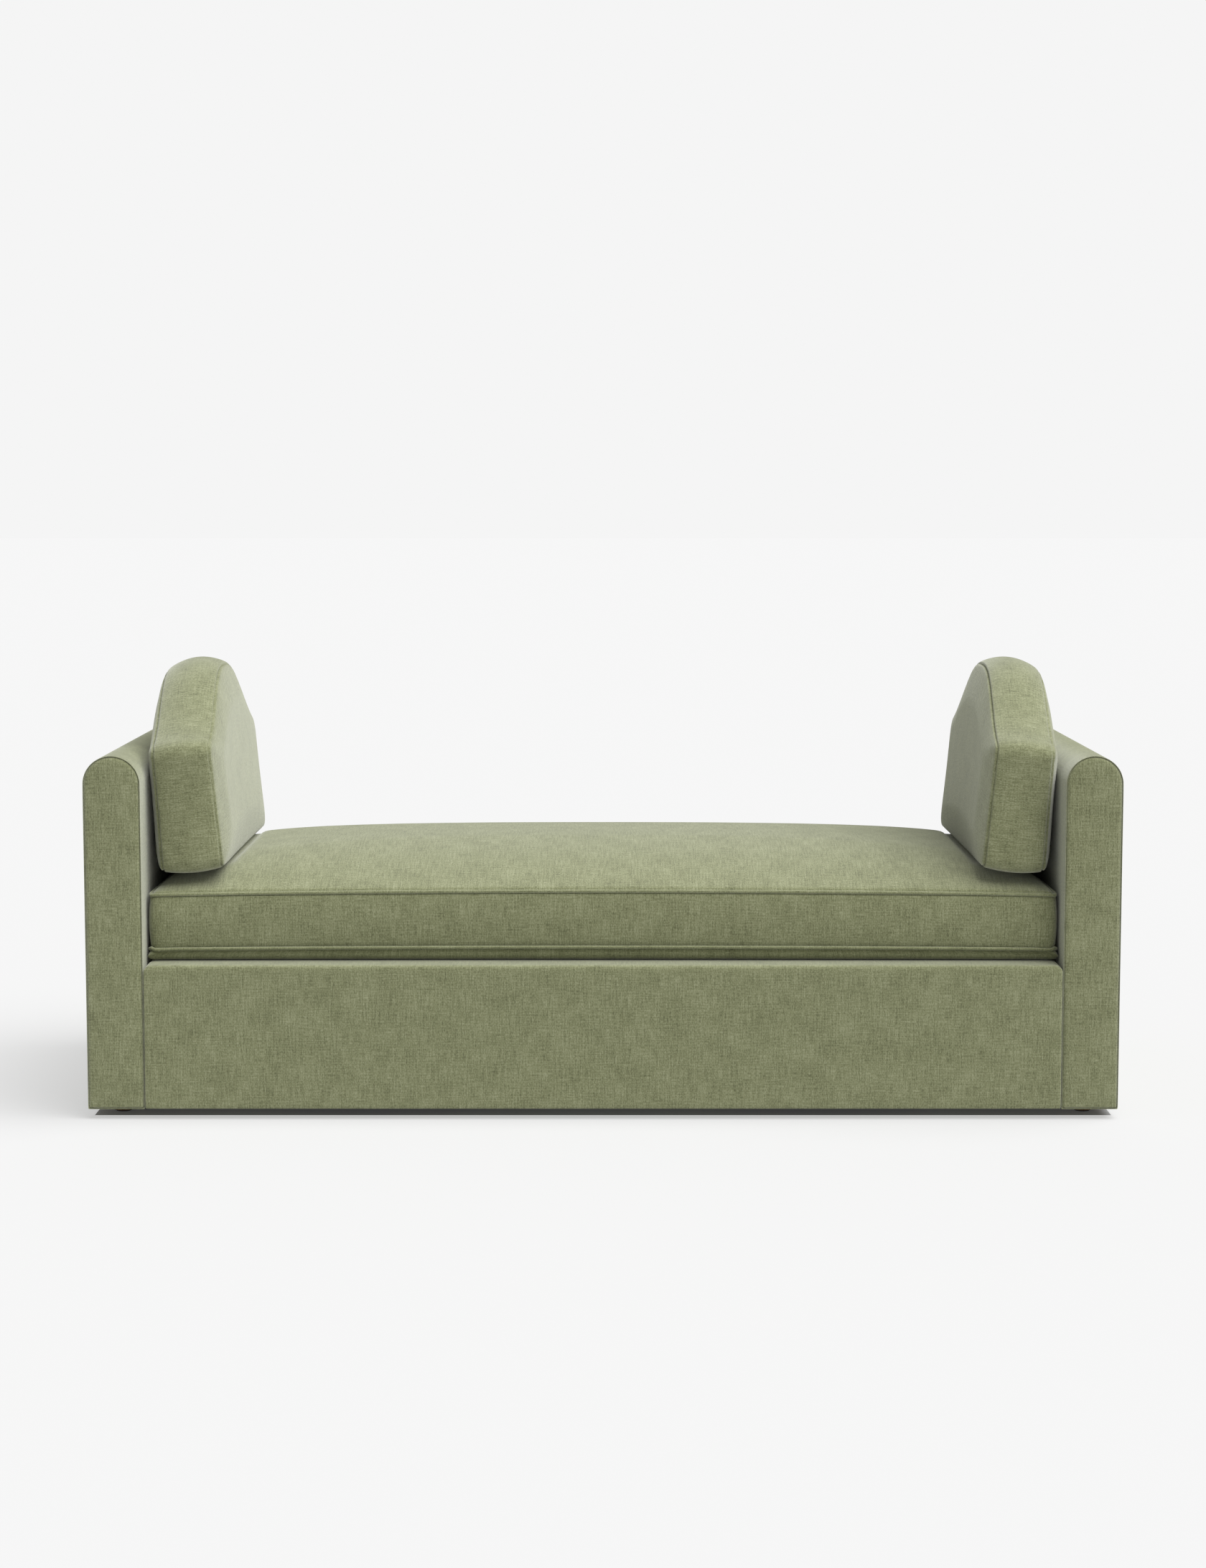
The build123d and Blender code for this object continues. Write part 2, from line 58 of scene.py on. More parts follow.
shared = {
    "square": 0.9,           # a normal's share along an axis from which a face counts as square to it
    "onEdge": 0.001,         # nearer than this to the top counts as on it
    "rim": 0.9999,           # from this share of a half size out, a point is on the outermost ring
    "sideSwell": 15,         # power that keeps a bulge on one side off the sides next to it
    "leaning": 0.7,          # a normal's share from which the cloth lies on that side
}


# small helpers

def clearSelection():
    bpy.ops.object.select_all(action="DESELECT")


def makeActive(piece):
    clearSelection()
    piece.select_set(True)
    bpy.context.view_layer.objects.active = piece


def startEdit(piece, element="FACE"):
    makeActive(piece)
    bpy.ops.object.mode_set(mode="EDIT")
    bpy.ops.mesh.select_mode(type=element)
    bpy.ops.mesh.select_all(action="DESELECT")


def stopEdit():
    bpy.ops.object.mode_set(mode="OBJECT")


def pickFaces(piece, test):
    mesh = bmesh.from_edit_mesh(piece.data)
    for face in mesh.faces:
        face.select_set(test(face.calc_center_median(), face.normal))
    bmesh.update_edit_mesh(piece.data)


def pickEdges(piece, test):
    mesh = bmesh.from_edit_mesh(piece.data)
    for edge in mesh.edges:
        edge.select_set(test(edge.verts[0].co, edge.verts[1].co))
    bmesh.update_edit_mesh(piece.data)


def fitPrimitive(name, size):
    # names the new primitive, stretches it to size and puts its place into its mesh
    piece = bpy.context.object
    piece.name = name
    piece.data.name = name
    piece.scale = size
    bpy.ops.object.transform_apply(location=True, rotation=True, scale=True)
    return piece


def addBlock(name, low, high):
    clearSelection()
    bpy.ops.mesh.primitive_cube_add(size=1, location=(low + high) / 2)
    return fitPrimitive(name, high - low)


def cutAcross(axis, places):
    # edge loops right round the open piece, square to one axis
    normal = Vector((0, 0, 0))
    normal[axis] = 1
    for place in places:
        bpy.ops.mesh.select_all(action="SELECT")
        bpy.ops.mesh.bisect(plane_co=normal * place, plane_no=normal)


def stepIn(piece, test, steps):
    # walks a face inwards, ring by ring: how far in, and how far out of the face
    bpy.ops.mesh.select_mode(type="FACE")
    pickFaces(piece, test)
    for inwards, outwards in steps:
        bpy.ops.mesh.inset(thickness=inwards, depth=outwards)


def evenSteps(start, end, step):
    count = max(1, round((end - start) / step))
    return [start + (end - start) * i / count for i in range(1, count)]


def subdivide(piece, levels):
    makeActive(piece)
    modifier = piece.modifiers.new("subdivision", "SUBSURF")
    modifier.levels = levels
    modifier.render_levels = levels
    bpy.ops.object.modifier_apply(modifier=modifier.name)
    bpy.ops.object.shade_smooth()


def layCloth(piece, place):
    # the weave follows this map: metres across the cloth and along it
    mesh = piece.data
    layer = mesh.uv_layers.get("cloth") or mesh.uv_layers.new(name="cloth")
    mesh.uv_layers.active = layer
    for face in mesh.polygons:
        for loop in face.loop_indices:
            point = mesh.vertices[mesh.loops[loop].vertex_index].co
            layer.data[loop].uv = place(point, face.normal)


def flatCut(point, normal):
    # cloth cut square to the box of the piece
    if abs(normal.z) > max(abs(normal.x), abs(normal.y)):
        return point.x, point.y
    if abs(normal.x) > abs(normal.y):
        return point.y, point.z
    return point.x, point.z


def dress(piece, material, body, slotName, *replaced):
    piece.data.materials.clear()
    piece.data.materials.append(material)
    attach(piece, body)
    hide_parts(*replaced)


# materials

def newMaterial(name):
    material = bpy.data.materials.new(name)
    material.use_nodes = True
    return material, material.node_tree, material.node_tree.nodes["Principled BSDF"]


def addNode(tree, kind, inputs=(), **settings):
    node = tree.nodes.new(kind)
    for name, value in settings.items():
        setattr(node, name, value)
    for socket, value in dict(inputs).items():
        if hasattr(value, "is_output"):
            tree.links.new(value, node.inputs[socket])
        else:
            node.inputs[socket].default_value = value
    return node


def stretchedNoise(tree, coordinates, scale, detail, roughness):
    # noise whose grains are 1/scale long each way
    mapping = addNode(tree, "ShaderNodeMapping", {"Vector": coordinates, "Scale": scale})
    noise = addNode(tree, "ShaderNodeTexNoise", {
        "Vector": mapping.outputs["Vector"], "Scale": 1.0, "Detail": detail, "Roughness": roughness})
    return noise.outputs["Fac"]


def weigh(tree, parts):
    # a weighted sum of values
    total = None
    for value, share in parts:
        node = addNode(tree, "ShaderNodeMath", {0: value, 1: share}, operation="MULTIPLY")
        if total is not None:
            node = addNode(tree, "ShaderNodeMath", {0: total, 1: node.outputs[0]}, operation="ADD")
        total = node.outputs[0]
    return total


def colourRamp(tree, value, stops):
    stops = list(stops)
    ramp = addNode(tree, "ShaderNodeValToRGB", {"Fac": value})
    elements = ramp.color_ramp.elements
    while len(elements) < len(stops):
        elements.new(0.5)
    for element, (place, colour) in zip(elements, stops):
        element.position = place
        element.color = (*colour, 1)
    return ramp.outputs["Color"]


def addBump(tree, shader, height, depth, strength=1.0):
    bump = addNode(tree, "ShaderNodeBump", {"Height": height, "Distance": depth, "Strength": strength})
    tree.links.new(bump.outputs["Normal"], shader.inputs["Normal"])


chenille = {
    "deep": (0.091, 0.097, 0.044),
    "mid": (0.192, 0.204, 0.104),
    "light": (0.296, 0.309, 0.186),
    "stops": (0.36, 0.50, 0.64),  # where those three lie on the ramp
    "yarn": (0.0021, 0.0042),     # one tuft of the pile, across and along
    "slub": (0.0030, 0.036),      # a thick stretch of warp
    "weft": (0.032, 0.0026),
    "patch": 0.055,               # where the pile lies another way
    "colourShares": (0.40, 0.30, 0.16, 0.14),  # of tufts, slubs, wefts and patches
    "bumpShares": (0.6, 0.25, 0.25),           # of tufts, slubs and wefts
    "pileDepth": 0.0012,
    "bumpStrength": 0.8,
    "roughness": 0.95,
    "gloss": 0.12,
    "sheen": 0.60,
    "sheenRoughness": 0.55,
    "sheenTint": (0.85, 0.86, 0.80, 1),
}


def makeChenille(name):
    material, tree, shader = newMaterial(name)
    cloth = addNode(tree, "ShaderNodeUVMap", uv_map="cloth").outputs["UV"]
    tufts = stretchedNoise(tree, cloth, [1 / size for size in chenille["yarn"]] + [1], 2.0, 0.6)
    slubs = stretchedNoise(tree, cloth, [1 / size for size in chenille["slub"]] + [1], 2.0, 0.6)
    wefts = stretchedNoise(tree, cloth, [1 / size for size in chenille["weft"]] + [1], 1.0, 0.5)
    patches = stretchedNoise(tree, cloth, [1 / chenille["patch"]] * 3, 3.0, 0.5)
    shade = weigh(tree, zip((tufts, slubs, wefts, patches), chenille["colourShares"]))
    colours = (chenille["deep"], chenille["mid"], chenille["light"])
    tree.links.new(colourRamp(tree, shade, zip(chenille["stops"], colours)), shader.inputs["Base Color"])
    height = weigh(tree, zip((tufts, slubs, wefts), chenille["bumpShares"]))
    addBump(tree, shader, height, chenille["pileDepth"], chenille["bumpStrength"])
    shader.inputs["Roughness"].default_value = chenille["roughness"]
    shader.inputs["Specular IOR Level"].default_value = chenille["gloss"]
    shader.inputs["Sheen Weight"].default_value = chenille["sheen"]
    shader.inputs["Sheen Roughness"].default_value = chenille["sheenRoughness"]
    shader.inputs["Sheen Tint"].default_value = chenille["sheenTint"]
    return material


# colours from dark to light, grain size in metres along x, y, z, roughness, metal, bump depth
plainFinishes = {
    "decking": ((0.10, 0.12, 0.06), (0.17, 0.19, 0.11), (0.0012, 0.0012, 0.0012), 0.9, 0.0, 0.0004),
    "foam": ((0.72, 0.66, 0.50), (0.85, 0.80, 0.64), (0.0022, 0.0022, 0.0022), 0.95, 0.0, 0.0008),
    "burlap": ((0.26, 0.19, 0.10), (0.46, 0.36, 0.22), (0.0018, 0.0018, 0.0018), 0.95, 0.0, 0.0006),
    "cambric": ((0.012, 0.012, 0.012), (0.035, 0.035, 0.035), (0.0010, 0.0010, 0.0010), 0.9, 0.0, 0.0002),
    "webbing": ((0.030, 0.026, 0.022), (0.095, 0.085, 0.070), (0.0030, 0.0030, 0.0030), 0.85, 0.0, 0.0006),
    "zip_tape": ((0.065, 0.075, 0.038), (0.13, 0.145, 0.08), (0.0011, 0.0011, 0.0011), 0.8, 0.0, 0.0004),
    "zip_metal": ((0.42, 0.40, 0.34), (0.58, 0.56, 0.49), (0.0060, 0.0007, 0.0007), 0.38, 1.0, 0.00005),
    "foot_wood": ((0.085, 0.038, 0.016), (0.22, 0.115, 0.052), (0.0030, 0.0260, 0.0030), 0.38, 0.0, 0.0002),
    "frame_wood": ((0.36, 0.23, 0.12), (0.56, 0.40, 0.24), (0.0700, 0.0040, 0.0040), 0.75, 0.0, 0.0004),
    "plywood": ((0.48, 0.33, 0.18), (0.66, 0.50, 0.31), (0.0050, 0.0900, 0.0050), 0.7, 0.0, 0.0003),
    "glide": ((0.012, 0.011, 0.010), (0.024, 0.022, 0.020), (0.0015, 0.0015, 0.0015), 0.55, 0.0, 0.0001),
    "steel": ((0.40, 0.40, 0.39), (0.60, 0.60, 0.58), (0.0010, 0.0010, 0.0080), 0.34, 1.0, 0.00005),
}


grainMix = {
    "broad": 0.12,           # the fine grain's size against the broad one's
    "fineShare": 0.65,
    "broadShare": 0.35,
    "darkFrom": 0.35,        # the ends of the ramp
    "lightFrom": 0.65,
}


def makePlainFinish(name):
    dark, light, grain, roughness, metal, depth = plainFinishes[name]
    material, tree, shader = newMaterial(name + "Finish")
    place = addNode(tree, "ShaderNodeTexCoord").outputs["Object"]
    fine = stretchedNoise(tree, place, [1 / size for size in grain], 3.0, 0.6)
    broad = stretchedNoise(tree, place, [grainMix["broad"] / size for size in grain], 2.0, 0.5)
    value = weigh(tree, [(fine, grainMix["fineShare"]), (broad, grainMix["broadShare"])])
    stops = [(grainMix["darkFrom"], dark), (grainMix["lightFrom"], light)]
    tree.links.new(colourRamp(tree, value, stops), shader.inputs["Base Color"])
    addBump(tree, shader, fine, depth)
    shader.inputs["Roughness"].default_value = roughness
    shader.inputs["Metallic"].default_value = metal
    return material


upholstery = makeChenille("mossChenille")
finishes = {name: makePlainFinish(name) for name in plainFinishes}
finishes["upholstery"] = upholstery
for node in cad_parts.values():
    for holder in node.material_slots:
        holder.material = finishes[holder.material.name.split(".")[0]]
print("materials made")


# arms: one band over the top, a facing sewn on at each end

arm = {
    "archSegments": 12,
    "archFill": 0.9995,      # of half the thickness, so that the arch's two sides don't cross
    "merge": 0.0003,
    "bottomEdge": 0.007,
    "seamSteps": (           # from the band's edge over the seam to the middle of the facing
        (0.0008, 0.0006),
        (0.0009, -0.0034),
        (0.0008, 0.0016),
        (0.0022, 0.0020),
        (0.0033, 0.0011),
        (0.0060, 0.0005),
        (0.0260, 0.0006),
    ),
    "bandEdge": (0.0022, 0.0075),  # loops that keep the band firm next to its seams
    "panelStep": 0.06,
    "smoothing": 2,
}


def makeArm(side):
    low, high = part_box(side + "_arm_cover")
    low = low.copy()
    high = high.copy()
    rise = sum(step[1] for step in arm["seamSteps"])
    low.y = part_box(side + "_arm_front_cover")[0].y + rise
    high.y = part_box(side + "_arm_back_cover")[1].y - rise
    half = (high.x - low.x) / 2
    springZ = high.z - half
    piece = addBlock(side + "_arm_upholstery", low, high)
    startEdit(piece, "EDGE")
    pickEdges(piece, lambda a, b: min(a.z, b.z) > springZ and abs(a.y - b.y) > half)
    bpy.ops.mesh.bevel(offset=half * arm["archFill"], segments=arm["archSegments"], affect="EDGES")
    bpy.ops.mesh.select_all(action="SELECT")
    bpy.ops.mesh.remove_doubles(threshold=arm["merge"])
    bpy.ops.mesh.select_mode(type="FACE")
    pickFaces(piece, lambda c, n: n.z < -shared["square"])
    bpy.ops.mesh.inset(thickness=arm["bottomEdge"])
    stepIn(piece, lambda c, n: n.y < -shared["square"], arm["seamSteps"])
    stepIn(piece, lambda c, n: n.y > shared["square"], arm["seamSteps"])
    ends = [place + offset * way for place, way in ((low.y, 1), (high.y, -1)) for offset in arm["bandEdge"]]
    bottom = low.z + arm["bottomEdge"]
    cutAcross(2, [bottom] + evenSteps(bottom, springZ, arm["panelStep"]))
    cutAcross(1, ends + evenSteps(low.y, high.y, arm["panelStep"]))
    cutAcross(0, [low.x + arm["bottomEdge"], high.x - arm["bottomEdge"]])
    stopEdit()

    middleX = (low.x + high.x) / 2

    def bandPlace(point, normal):
        if abs(normal.y) > shared["leaning"]:
            return point.x, point.z
        if abs(normal.z) > shared["leaning"] and point.z < bottom:
            return point.y, point.x
        angle = math.atan2(max(0, point.z - springZ), point.x - middleX)
        if point.z >= springZ:
            return point.y, springZ + half * angle
        return point.y, point.z if point.x > middleX else 2 * springZ + half * math.pi - point.z

    layCloth(piece, bandPlace)
    subdivide(piece, arm["smoothing"])
    dress(piece, upholstery, "frame", "upholstery", *(
        side + "_arm_" + part for part in ("cover", "front_cover", "back_cover", "padding")))


for side in sides:
    makeArm(side)
print("arms made")


# rails: a padded apron at the front and the back

rail = {
    "topCorner": 0.014,      # seen from the front
    "cornerSegments": 4,
    "depthEdge": 0.05,       # a top edge longer than this from front to back is an end one
    "topEdge": 0.012,
    "topRoll": 1.2,          # the roll goes this much further down the face than over the top
    "endEdge": 0.004,
    "bottomEdge": 0.007,
    "panelStep": 0.07,
    "smoothing": 2,
}


def makeRail(side):
    low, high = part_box(side + "_rail_cover")
    piece = addBlock(side + "_rail_upholstery", low, high)
    face = -1 if side == "front" else 1
    startEdit(piece, "EDGE")
    topZ = high.z - shared["onEdge"]
    pickEdges(piece, lambda a, b: min(a.z, b.z) > topZ and abs(a.y - b.y) > rail["depthEdge"])
    bpy.ops.mesh.bevel(offset=rail["topCorner"], segments=rail["cornerSegments"], affect="EDGES")
    bpy.ops.mesh.select_mode(type="FACE")
    outer = low.y if face < 0 else high.y
    inner = high.y if face < 0 else low.y
    cutAcross(1, [outer - face * rail["topEdge"], inner + face * rail["endEdge"]])
    cutAcross(2, [low.z + rail["bottomEdge"], high.z - rail["topEdge"] * rail["topRoll"]]
              + evenSteps(low.z, high.z, rail["panelStep"]))
    cutAcross(0, [low.x + rail["endEdge"], high.x - rail["endEdge"]]
              + evenSteps(low.x, high.x, rail["panelStep"]))
    stopEdit()
    layCloth(piece, flatCut)
    subdivide(piece, rail["smoothing"])
    dress(piece, upholstery, "frame", "upholstery", side + "_rail_cover", side + "_rail_padding")


makeRail("front")
makeRail("back")
print("rails made")


# deck and dust cover

deck = {
    "edge": 0.010,
    "swell": 0.0030,         # of the deck's middle, and of the underside cloth between the rails
    "flatness": 6,           # power that keeps the deck level up to near its edges
    "step": 0.05,
    "smoothing": 1,
    "clothThickness": 0.0006,
    "clothColumns": 44,      # of the grid that the underside cloth is made from
    "clothRows": 20,
}


def makeDeck():
    low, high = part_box("deck_cover")
    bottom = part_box("deck_cloth")[0].z
    low = Vector((low.x, low.y, bottom))
    piece = addBlock("deck_upholstery", low, high)
    startEdit(piece)
    cutAcross(0, [low.x + deck["edge"], high.x - deck["edge"]] + evenSteps(low.x, high.x, deck["step"]))
    cutAcross(1, [low.y + deck["edge"], high.y - deck["edge"]] + evenSteps(low.y, high.y, deck["step"]))
    stopEdit()
    layCloth(piece, flatCut)
    for vertex in piece.data.vertices:
        if vertex.co.z > high.z - shared["onEdge"]:
            across = 1 - (vertex.co.x / high.x) ** deck["flatness"]
            along = 1 - (vertex.co.y / high.y) ** deck["flatness"]
            vertex.co.z -= deck["swell"] * (1 - across * along)
    subdivide(piece, deck["smoothing"])
    dress(piece, finishes["decking"], "frame", "decking", "deck_cover", "deck_pad", "deck_cloth")


def makeDustCover():
    low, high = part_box("dust_cover")
    clearSelection()
    bpy.ops.mesh.primitive_grid_add(
        x_subdivisions=deck["clothColumns"], y_subdivisions=deck["clothRows"], size=1,
        location=((low.x + high.x) / 2, 0, low.z + deck["clothThickness"]))
    piece = fitPrimitive("underside_cloth", (high.x - low.x, high.y - low.y, 1))
    for vertex in piece.data.vertices:
        along = math.sin(math.pi * (vertex.co.x / (high.x - low.x) + 0.5) * 2)
        across = 1 - (2 * vertex.co.y / (high.y - low.y)) ** 2
        vertex.co.z -= deck["swell"] * across * along ** 2
    startEdit(piece)
    bpy.ops.mesh.select_all(action="SELECT")
    bpy.ops.mesh.flip_normals()
    stopEdit()
    modifier = piece.modifiers.new("thickness", "SOLIDIFY")
    modifier.thickness = deck["clothThickness"]
    bpy.ops.object.modifier_apply(modifier=modifier.name)
    bpy.ops.object.shade_smooth()
    dress(piece, finishes["cambric"], "frame", "cambric", "dust_cover")


makeDeck()
makeDustCover()
print("deck made")


# soft pieces with two faces and a boxing between them

def makeBoxed(name, columns, rows, boxRows, across, along, thickness):
    # two flat cut panels joined by a boxing strip, lying flat about the origin
    clearSelection()
    bpy.ops.mesh.primitive_grid_add(x_subdivisions=columns, y_subdivisions=rows, size=1,
                                    location=(0, 0, thickness / 2))
    piece = fitPrimitive(name, (across, along, 1))
    startEdit(piece, "EDGE")
    bpy.ops.mesh.select_all(action="SELECT")
    bpy.ops.mesh.duplicate()
    bpy.ops.transform.translate(value=(0, 0, -thickness))
    bpy.ops.mesh.flip_normals()
    bpy.ops.mesh.select_all(action="DESELECT")
    bpy.ops.mesh.select_non_manifold()
    bpy.ops.mesh.mark_seam()
    bpy.ops.mesh.bridge_edge_loops(number_cuts=boxRows - 1)
    bpy.ops.mesh.select_all(action="SELECT")
    bpy.ops.mesh.normals_make_consistent(inside=False)
    stopEdit()
    layCloth(piece, flatCut)
    return piece


def roundCorner(x, y, halfX, halfY, radius):
    # turns a square corner of the flat cut into a round one
    u = (abs(x) - halfX + radius) / radius
    v = (abs(y) - halfY + radius) / radius
    if u <= 0 or v <= 0:
        return x, y
    newX = halfX - radius + radius * u * math.sqrt(1 - v * v / 2)
    newY = halfY - radius + radius * v * math.sqrt(1 - u * u / 2)
    return math.copysign(newX, x), math.copysign(newY, y)


cloth = {
    "frames": 20,
    "quality": 5,
    "pressure": 4.0,
    "mass": 0.25,
    "tension": 18,
    "bending": 0.4,
    "cordResolution": 3,     # of a piping's round section
}


def seamPoints(piece):
    return {i for edge in piece.data.edges if edge.use_seam for i in edge.vertices}


def puff(piece, cap):
    # fills the cover under pressure with its seams held, and limits how far a point may go
    rest = [vertex.co.copy() for vertex in piece.data.vertices]
    seams = piece.vertex_groups.new(name="seams")
    seams.add(sorted(seamPoints(piece)), 1.0, "REPLACE")
    makeActive(piece)
    modifier = piece.modifiers.new("fill", "CLOTH")
    settings = modifier.settings
    settings.quality = cloth["quality"]
    settings.mass = cloth["mass"]
    settings.tension_stiffness = cloth["tension"]
    settings.compression_stiffness = cloth["tension"]
    settings.bending_stiffness = cloth["bending"]
    settings.use_pressure = True
    settings.uniform_pressure_force = cloth["pressure"]
    settings.vertex_group_mass = seams.name
    settings.effector_weights.gravity = 0
    modifier.collision_settings.use_collision = False
    modifier.point_cache.frame_start = 1
    modifier.point_cache.frame_end = cloth["frames"]
    for step in range(1, cloth["frames"] + 1):
        bpy.context.scene.frame_set(step)
    bpy.ops.object.modifier_apply(modifier=modifier.name)
    bpy.context.scene.frame_set(1)
    for vertex, start in zip(piece.data.vertices, rest):
        move = vertex.co - start
        if move.length > cap:
            vertex.co = start + move * (cap / move.length)
    piece.vertex_groups.clear()


def pickSeams(piece, test):
    # the marked seams whose edges pass the test
    mesh = bmesh.from_edit_mesh(piece.data)
    for edge in mesh.edges:
        edge.select_set(edge.seam and test((edge.verts[0].co + edge.verts[1].co) / 2))
    bmesh.update_edit_mesh(piece.data)


def addPiping(piece, name, test, radius, out):
    # a covered cord along the marked seams that pass the test
    startEdit(piece, "EDGE")
    pickSeams(piece, test)
    bpy.ops.mesh.duplicate()
    bpy.ops.mesh.separate(type="SELECTED")
    stopEdit()
    piping = [o for o in bpy.context.selected_objects if o != piece][0]
    makeActive(piping)
    piping.name = name
    bpy.ops.object.convert(target="CURVE")
    piping.data.bevel_depth = radius
    piping.data.bevel_resolution = cloth["cordResolution"]
    bpy.ops.object.convert(target="MESH")
    bpy.ops.object.shade_smooth()
    for vertex in piping.data.vertices:
        vertex.co += Vector((math.copysign(out, vertex.co.x), math.copysign(out, vertex.co.y), 0))
    layCloth(piping, flatCut)
    return piping


def sewSeams(piece, width, depth):
    # a narrow furrow along every marked seam
    startEdit(piece, "EDGE")
    pickSeams(piece, lambda middle: True)
    bpy.ops.mesh.bevel(offset=width, segments=2, profile=0.5, affect="EDGES")
    mesh = bmesh.from_edit_mesh(piece.data)
    mesh.normal_update()
    floor = [v for v in mesh.verts if v.link_faces and all(f.select for f in v.link_faces)]
    moves = [(vertex, vertex.normal * depth) for vertex in floor]
    for vertex, move in moves:
        vertex.co -= move
    bmesh.update_edit_mesh(piece.data)
    stopEdit()


# seat cushion

seat = {
    "cell": 0.011,
    "boxRows": 9,
    "cornerRadius": 0.014,
    "pullIn": 0.0040,         # how far the middle of each side is drawn in
    "crown": 0.080,
    "slack": 0.93,            # the cut crown against the filled one
    "endFullness": (3.5, 0.5),    # powers of the crown along the seat
    "sideFullness": (2.4, 0.75),  # and across it: the first higher or the second lower is fuller
    "endSquareness": 3,       # added to the power across towards the ends
    "bottomLean": 0.80,       # radians from upright that the cloth first leans out below its seam
    "leanLength": 0.014,      # down that slope
    "bottomRoll": 0.0085,     # then it rolls under with this radius
    "rollFade": 3,            # power with which the roll fades towards the middle
    "bottomCrown": 0.008,
    "bottomFlatness": 4,
    "weltLift": 0.0065,       # the top piping rides higher in the middle
    "endDrop": 0.0035,        # and the bottom one hangs lower at the ends
    "endLift": 0.4,           # share of the roll that the bottom loses at the ends
    "endLiftFade": 30,        # power that keeps that loss near them
    "armGap": 0.0015,         # kept clear of the arms
    "deckGap": 0.0002,        # and of the deck
    "boxBulge": 0.0035,
    "weltRadius": 0.0034,
    "weltTuck": 0.0042,       # the cover is drawn in this far behind the piping
    "weltOut": 0.0012,
    "cap": 0.008,             # how far filling may move a point
    "bolsterDent": 0.006,     # how deep each bolster sits in
    "dentSlope": 1.2,         # how steeply the top may rise beside it
    "zipGap": 0.0004,
    "zipEdge": (0.012, 0.008),    # round the tape, along it and up, that is drawn in too
    "smoothing": 1,
}


def rollUnder(distance):
    # how far in and how far down the cloth has gone, that distance from the bottom seam
    lean = seat["bottomLean"]
    radius = seat["bottomRoll"]
    slope = min(distance, seat["leanLength"])
    arc = min(distance - slope, radius * (math.pi / 2 + lean))
    angle = arc / radius - lean
    inwards = radius * (math.cos(lean) - math.cos(angle)) - slope * math.sin(lean) + distance - slope - arc
    return inwards, slope * math.cos(lean) + radius * (math.sin(angle) + math.sin(lean))


def crownHeight(u, v):
    # from 0 on the seam to 1 in the middle of the top
    endPower, endRise = seat["endFullness"]
    sidePower, sideRise = seat["sideFullness"]
    sidePower += seat["endSquareness"] * u ** 4
    return (1 - abs(u) ** endPower) ** endRise * (1 - abs(v) ** sidePower) ** sideRise


